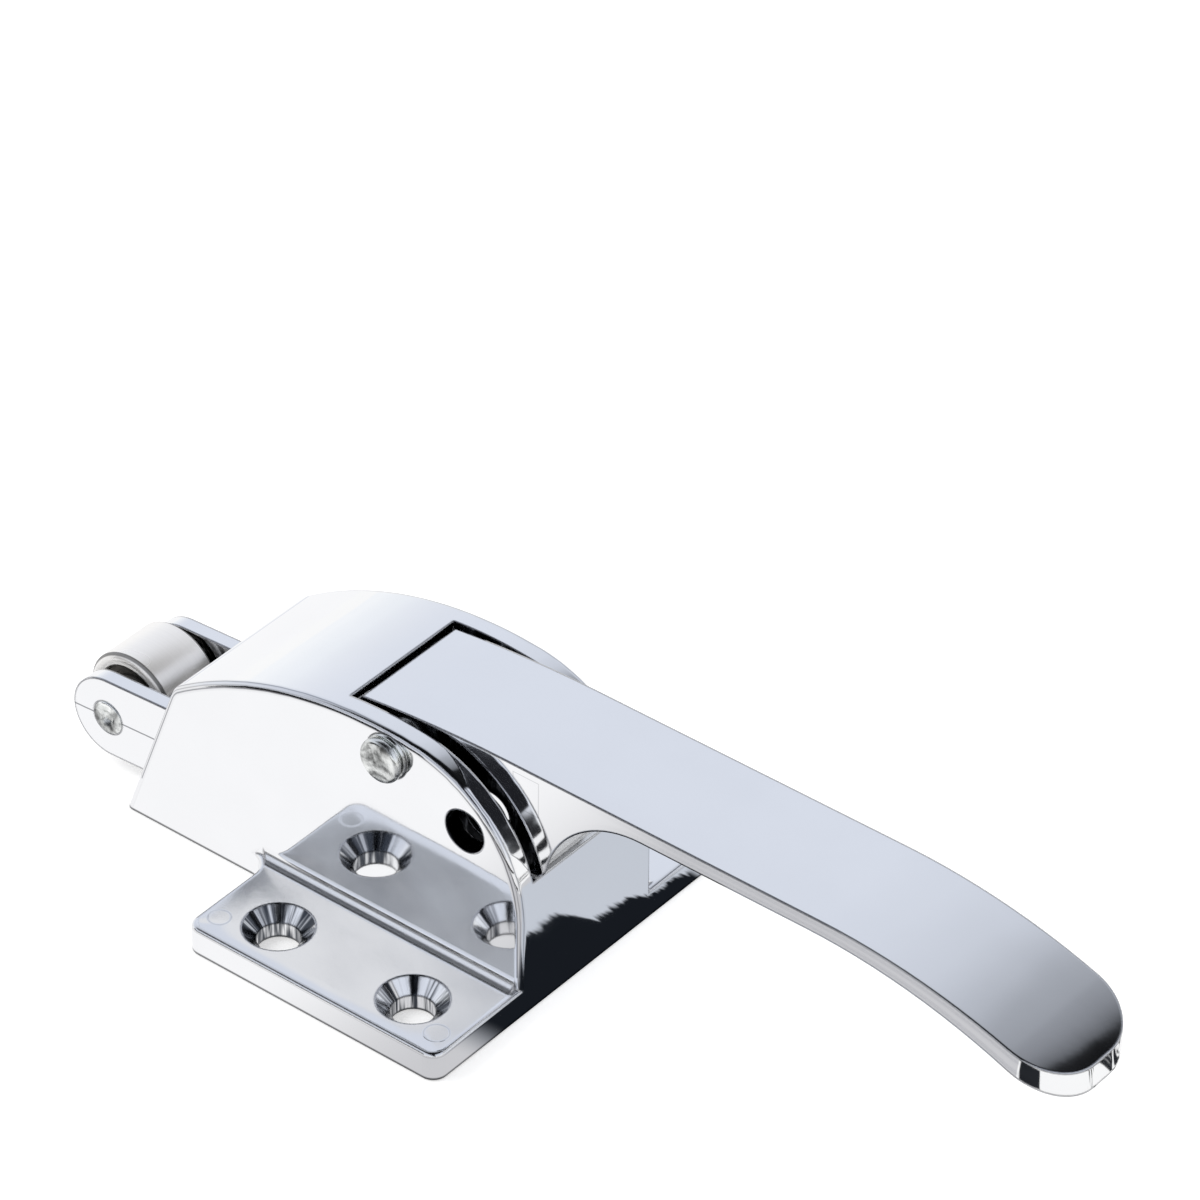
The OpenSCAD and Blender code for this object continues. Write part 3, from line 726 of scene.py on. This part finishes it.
    def ceiling(self, stage):
        """Pale studio roof with dark fields in it, which only shiny metal mirrors."""
        paint = Paint("ceiling_soft")
        high = stage.ceiling
        x, y, _ = paint.xyz()

        # Slopes of the line from a point of the grip, which place the soft change of tone and the dark gap.
        across, along = (x - GRIP_X) / (high - GRIP_Z), y / (high - GRIP_Z)
        pale = paint.shades(apart(across, along) / 10, ROOF_SHADES)
        gap = paint.shades((across - along + 0.6) / 2 + 1, [(at, (grey,) * 3) for at, grey in GAP_GREYS])
        inside = (0.44 - across).ramp(-0.03, 0.03) * (along + 0.6).ramp(-0.05, 0.05)
        shade = paint.mix(inside, WHITE, gap)

        # A dark flag for the mirrored flange, and beside it an even field for the flange's top.
        left = x.between(-1.80, -1.40, 0.03)
        flag = y.above(-2.0, 0.03) * y.below(-1.838, 0.006) * left
        shade = paint.mix(flag, shade, paint.mix(y.above(-1.93, 0.09), (0.55, 0.55, 0.54), (0.2, 0.2, 0.2)))
        even = y.above(-1.837, 0.004) * y.below(-1.65, 0.05) * left
        pale = paint.mix(even, pale, paint.mix(x.above(-1.51, 0.05), (0.84, 0.845, 0.865), (0.66, 0.67, 0.7)))

        # A dark sector and strip in front, which the slot's sides and the arch mirror.
        turn = y.angle_from(x)
        start = x.ramp(1.2, 1.9, -1.13, -0.95) + x.ramp(2.8, 4.2, 0.0, 0.22)
        sector = turn.above(start, 0.05) * turn.below(-0.61, 0.02) * x.ramp(0.5, 0.9)
        strip = (y + 1.43 + x * 0.26).abs().below(0.17, 0.04) * x.between(-0.4, 2.0, 0.3)
        shade = paint.mix(sector.most(strip), shade, NEAR_BLACK)
        paint.show(paint.glow(paint.mix(1.0, pale, shade, "MULTIPLY")))
        self.only_mirrored(self.level_sheet("ceiling", high * 10, high, paint.material))

    def card(self):
        """Dark upright card at the front left, which only the rounded edges mirror."""
        paint = Paint("card_dark")
        (x0, y0), (x1, y1) = CARD_FOOT
        corners = [(x0, y0, 0), (x1, y1, 0), (x1, y1, CARD_HEIGHT), (x0, y0, CARD_HEIGHT)]
        self.only_mirrored(self.sheet("card", corners, paint.show(paint.glow(CARD_BLACK))))

    def world(self, scene):
        """White surroundings, dimmer for the light that they give."""
        scene.world = bpy.data.worlds.new("studio")
        paint = Paint("studio", scene.world)
        strength = paint.rays("Camera", "Glossy", "Transmission").ramp(0, 1, 0.62, 1.0)
        paint.show(paint.add("ShaderNodeBackground", None, {"Color": WHITE, "Strength": strength}).outputs[0])

    def lamps(self, scene):
        for name, place, size, power in LAMPS:
            data = bpy.data.lights.new(name, "AREA")
            data.shape = "DISK"
            data.size = size
            data.energy = power
            lamp = bpy.data.objects.new(name, data)
            lamp.location = place
            lamp.rotation_euler = (Vector(LAMP_AIM) - Vector(place)).to_track_quat("-Z", "Y").to_euler()
            lamp.visible_glossy = False
            scene.collection.objects.link(lamp)


class LATCH_OT_housing(bpy.types.Operator):
    """The cast body on its two flanges"""
    bl_idname = "latch.housing"
    bl_label = "Housing"

    def execute(self, context):
        give("housing_casting", evened("housing"), chrome("body_chrome_polished", housing_marks),
             "body", "housing")
        return {"FINISHED"}


class LATCH_OT_handle(bpy.types.Operator):
    """The drooping pull handle"""
    bl_idname = "latch.handle"
    bl_label = "Handle"

    def execute(self, context):
        give("handle_casting", evened("handle"), chrome("handle_chrome_polished", handle_marks),
             "handle", "handle")
        return {"FINISHED"}


class LATCH_OT_bolt(bpy.types.Operator):
    """The forked bolt with its guide rod"""
    bl_idname = "latch.bolt"
    bl_label = "Bolt"

    def execute(self, context):
        give("bolt_casting", evened("bolt_fork"), chrome("bolt_chrome_polished", bolt_marks),
             "bolt", "bolt_fork")
        dress(frame["nodes"]["spring_guide"], dull_metal("guide_steel", finishes().pin, 0.25, 0.4))
        return {"FINISHED"}


class LATCH_OT_roller(bpy.types.Operator):
    """The roller with its bush"""
    bl_idname = "latch.roller"
    bl_label = "Roller"

    def execute(self, context):
        half = ROLLER_HALF * 1000
        centre = (AXLE_X, ROLLER_PLAY, AXLE_Z)
        sleeve = mirrored_ends([(6.95, 0.35 - half), (7.25, -half), (8.2, -half), (8.36, 0.04 - half),
                                (9.02, 0.6 - half), (9.12, 0.74 - half), (9.15, 0.95 - half)])
        give("roller_ground", turned("roller_ground", centre, sleeve, closed=True),
             satin_roller("roller_satin", finishes().roller, centre), "roller", "roller_sleeve")
        face = BUSH_INSET * 1000 - half
        bush = mirrored_ends([(3.16, face + 0.3), (3.46, face), (4.7, face), (4.85, face + 0.25), (5.35, face + 0.25),
                              (5.5, face), (6.75, face), (6.95, face + 0.2)])
        # Painted shade: the recessed bush is near black.
        give("bush_turned", turned("bush_turned", centre, bush, closed=True),
             dull_metal("bush_painted_shade", finishes().bush_shade, 0.35, 0.55), "roller", "roller_bush")
        return {"FINISHED"}


class LATCH_OT_pins(bpy.types.Operator):
    """The pivot pin and the roller's pin"""
    bl_idname = "latch.pins"
    bl_label = "Pins"

    def execute(self, context):
        steel = finishes().pin
        pivot = [(0, -19.275), (3.1, -19.25), (3.5, -19.16), (3.8, -18.98), (3.96, -18.74), (4.025, -18.45),
                 (4.025, -18.1), (3.95, -18.0), (3.35, -18.0), (3.3, -17.9), (3.3, -17.45), (3.35, -17.35),
                 (3.95, -17.35), (4.025, -17.27), (4.025, 17.0), (3.8, 17.2), (0, 17.22)]
        give("pivot_pin_turned", turned("pivot_pin_turned", PIVOT, pivot),
             worn_steel("pivot_worn", steel, PIVOT), "body", "pivot_pin")
        centre = (AXLE_X, 0, AXLE_Z)
        riveted = mirrored_ends([(0, -10.5), (0.75, -10.52), (1.0, -10.65), (1.5, -11.22), (1.68, -11.3),
                                 (2.7, -11.3), (2.92, -11.24), (3.05, -11.12), (3.1, -10.95)])
        give("roller_pin_riveted", turned("roller_pin_riveted", centre, riveted),
             worn_steel("roller_pin_worn", tinted(steel, 1.15), centre), "bolt", "roller_pin")
        return {"FINISHED"}


def coil_tree(material):
    """Geometry nodes that sweep a round wire along a coil whose end turns lie closer together."""
    tree = bpy.data.node_groups.new("coil", "GeometryNodeTree")
    tree.interface.new_socket("Geometry", in_out="OUTPUT", socket_type="NodeSocketGeometry")
    sockets = {}
    for name, value in COIL.items():
        socket = tree.interface.new_socket(name, in_out="INPUT", socket_type="NodeSocketFloat")
        socket.default_value = value
        sockets[name] = socket.identifier
    nodes = Nodes(tree)
    given = nodes.add("NodeGroupInput").outputs
    coil = nodes.add("GeometryNodeCurveSpiral", None,
                     {"Resolution": 28, "Rotations": given["Turns"], "Start Radius": given["Radius"],
                      "End Radius": given["Radius"], "Height": given["Length"]})
    along = Number(nodes, nodes.add("GeometryNodeSplineParameter").outputs["Factor"])
    spread = nodes.add("ShaderNodeFloatCurve", None, {"Value": along})
    for place in ((0.1, 0.05), (0.17, 0.12), (0.83, 0.88), (0.9, 0.95)):
        spread.mapping.curves[0].points.new(*place)
    spread.mapping.update()
    rise = (Number(nodes, spread.outputs[0]) - along) * Number(nodes, given["Length"])
    offset = nodes.add("ShaderNodeCombineXYZ", None, {"Z": rise})
    placed = nodes.add("GeometryNodeSetPosition", None, {"Geometry": coil.outputs[0], "Offset": offset.outputs[0]})
    ring = nodes.add("GeometryNodeCurvePrimitiveCircle", None, {"Resolution": 14, "Radius": given["Wire"]})
    sweep = nodes.add("GeometryNodeCurveToMesh", None,
                      {"Curve": placed.outputs[0], "Profile Curve": ring.outputs[0], "Fill Caps": True})
    real = nodes.add("GeometryNodeRealizeInstances", None, {0: sweep.outputs[0]})
    paint = nodes.add("GeometryNodeSetMaterial", None, {"Geometry": real.outputs[0], "Material": material})
    nodes.add("NodeGroupOutput", None, {0: paint.outputs[0]})
    return tree, sockets


def coil_mesh(material, length):
    """Mesh of the coil, which stands on the origin along Z."""
    tree, sockets = coil_tree(material)
    holder = stand("coil_work", bpy.data.meshes.new("coil_work"))
    modifier = holder.modifiers.new("coil", "NODES")
    modifier.node_group = tree
    modifier[sockets["Length"]] = length
    mesh = baked(holder)
    work = bmesh.new()
    work.from_mesh(mesh)
    bmesh.ops.remove_doubles(work, verts=work.verts, dist=1e-7)
    smoothed(work, mesh)
    mesh.name = "spring_coil"
    return mesh


class LATCH_OT_spring(bpy.types.Operator):
    """The bolt's spring and its stop plate"""
    bl_idname = "latch.spring"
    bl_label = "Spring"

    def execute(self, context):
        thick = COIL["Wire"]
        slope = math.atan(BOLT_RISE)
        axis = Vector((math.cos(slope), 0, math.sin(slope)))
        rise = Vector((-math.sin(slope), 0, math.cos(slope)))
        side = rise.cross(axis)
        corners = [Vector(corner.co) for corner in frame["nodes"]["bolt_spring"].data.vertices]
        start = min(corner.dot(axis) for corner in corners) + thick
        end = max(corner.dot(axis) for corner in corners) - thick
        heights = [corner.dot(rise) for corner in corners]
        middle = (min(heights) + max(heights)) / 2
        place = axis * start + rise * middle
        wire = dull_metal("spring_wire", finishes().wire, 0.25, 0.4)
        mesh = coil_mesh(wire, end - start)
        mesh.transform(Matrix(((rise.x, side.x, axis.x, place.x), (rise.y, side.y, axis.y, place.y),
                               (rise.z, side.z, axis.z, place.z), (0, 0, 0, 1))))
        coil = give("spring_coil", mesh, wire, "body", "bolt_spring")
        travel = next(joint["range_m"][1] for joint in frame["joints"] if joint["name"] == "bolt_slide")
        axis * (end + thick) + rise * middle
        1 - travel / (end - start + 2 * thick)
        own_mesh(coil)
        dress(frame["nodes"]["spring_stop"], dull_metal("stop_plate_zinc", finishes().plate, 0.3, 0.45))
        return {"FINISHED"}


PIECES = (LATCH_OT_stage, LATCH_OT_housing, LATCH_OT_handle, LATCH_OT_bolt, LATCH_OT_roller, LATCH_OT_pins,
          LATCH_OT_spring)
GROUPS = {"latch_castings": LatchCastings, "latch_finishes": LatchFinishes, "latch_stage": LatchStage}


class LATCH_PT_panel(bpy.types.Panel):
    """Sizes, finishes and pieces of the latch"""
    bl_idname = "LATCH_PT_panel"
    bl_label = "Freezer door latch"
    bl_space_type = "VIEW_3D"
    bl_region_type = "UI"
    bl_category = "Latch"

    def draw(self, context):
        for group in GROUPS:
            settings = getattr(context.scene, group)
            box = self.layout.box()
            for name in settings.bl_rna.properties.keys():
                if name not in ("rna_type", "name"):
                    box.prop(settings, name)
        for piece in PIECES:
            self.layout.operator(piece.bl_idname)


def register():
    for name, group in GROUPS.items():
        bpy.utils.register_class(group)
        setattr(bpy.types.Scene, name, PointerProperty(type=group))
    for piece in PIECES:
        bpy.utils.register_class(piece)
    bpy.utils.register_class(LATCH_PT_panel)


def unregister():
    bpy.utils.unregister_class(LATCH_PT_panel)
    for piece in reversed(PIECES):
        bpy.utils.unregister_class(piece)
    for name, group in GROUPS.items():
        delattr(bpy.types.Scene, name)
        bpy.utils.unregister_class(group)


def main():
    register()
    for piece in PIECES:
        area, name = piece.bl_idname.split(".")
        getattr(getattr(bpy.ops, area), name)()
    bpy.context.view_layer.update()


if __name__ == "__main__":
    main()
